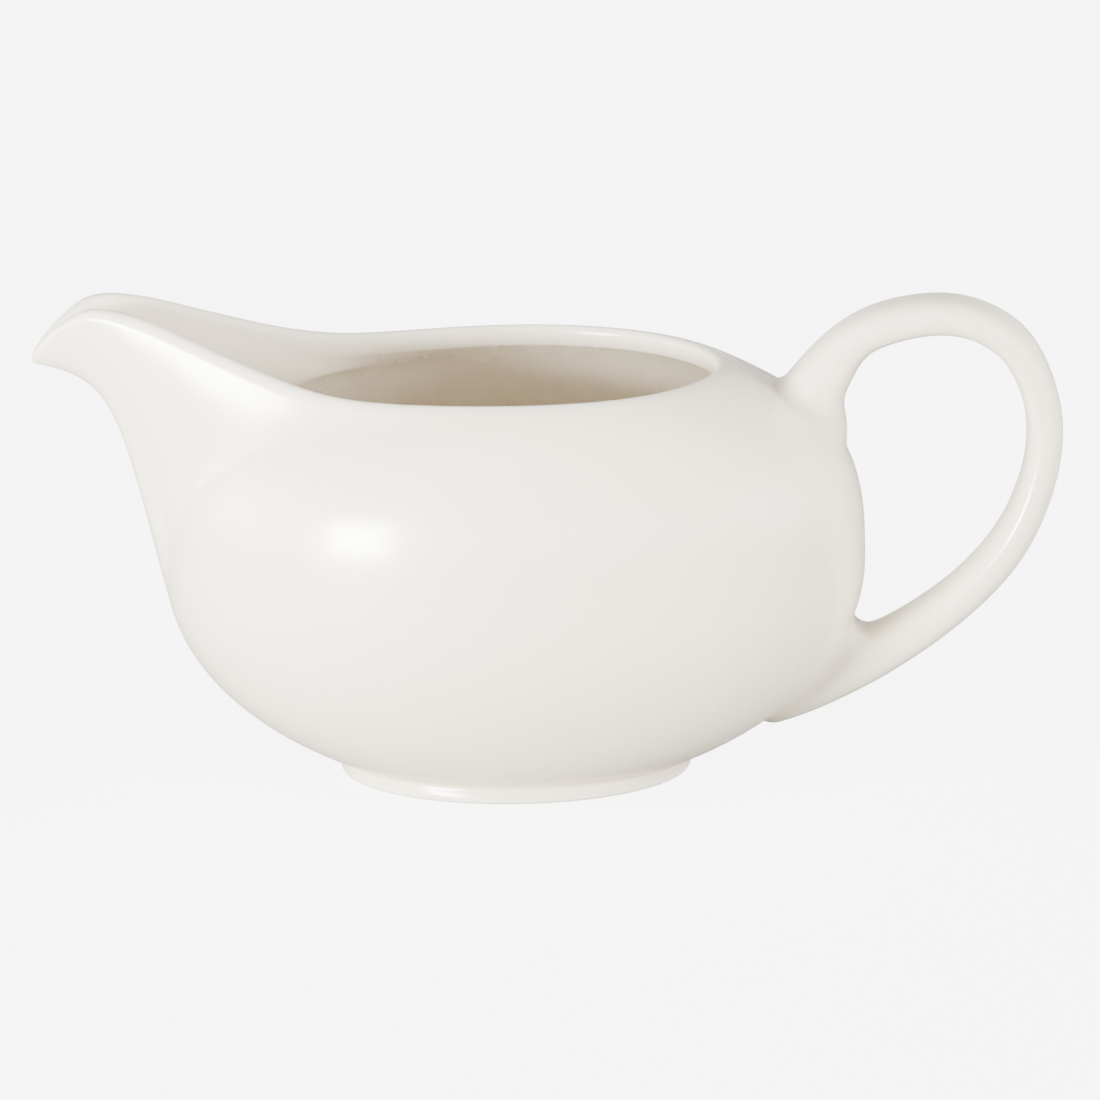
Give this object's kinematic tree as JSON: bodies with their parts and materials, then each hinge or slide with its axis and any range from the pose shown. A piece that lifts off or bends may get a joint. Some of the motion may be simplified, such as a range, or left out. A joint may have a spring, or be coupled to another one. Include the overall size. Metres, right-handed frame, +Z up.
{
  "type": "gravy boat",
  "caption": "Oval glazed pottery gravy boat with a beak pouring spout, a low foot ring and a loop strap handle opposite the spout, for pouring sauce at table.",
  "frame": {"origin": "centre of the object's box on its standing plane, under the foot ring", "axes": "+X from the spout towards the handle along the length, +Y across the width, +Z up; the object is the same on both sides of the XZ plane"},
  "size_m": [0.2046, 0.1016, 0.0966],
  "materials": {
    "bowl_glaze": "glossy cream-white glaze",
    "spout_glaze": "glossy cream-white glaze",
    "foot_ring_glaze": "glossy cream-white glaze",
    "handle_glaze": "glossy cream-white glaze",
    "upper_handle_joint_glaze": "glossy cream-white glaze",
    "lower_handle_joint_glaze": "glossy cream-white glaze"
  },
  "bodies": {
    "root": {"bowl": "bowl_glaze", "spout": "spout_glaze", "foot_ring": "foot_ring_glaze", "handle": "handle_glaze", "upper_handle_joint": "upper_handle_joint_glaze", "lower_handle_joint": "lower_handle_joint_glaze"}
  },
  "joints": []
}
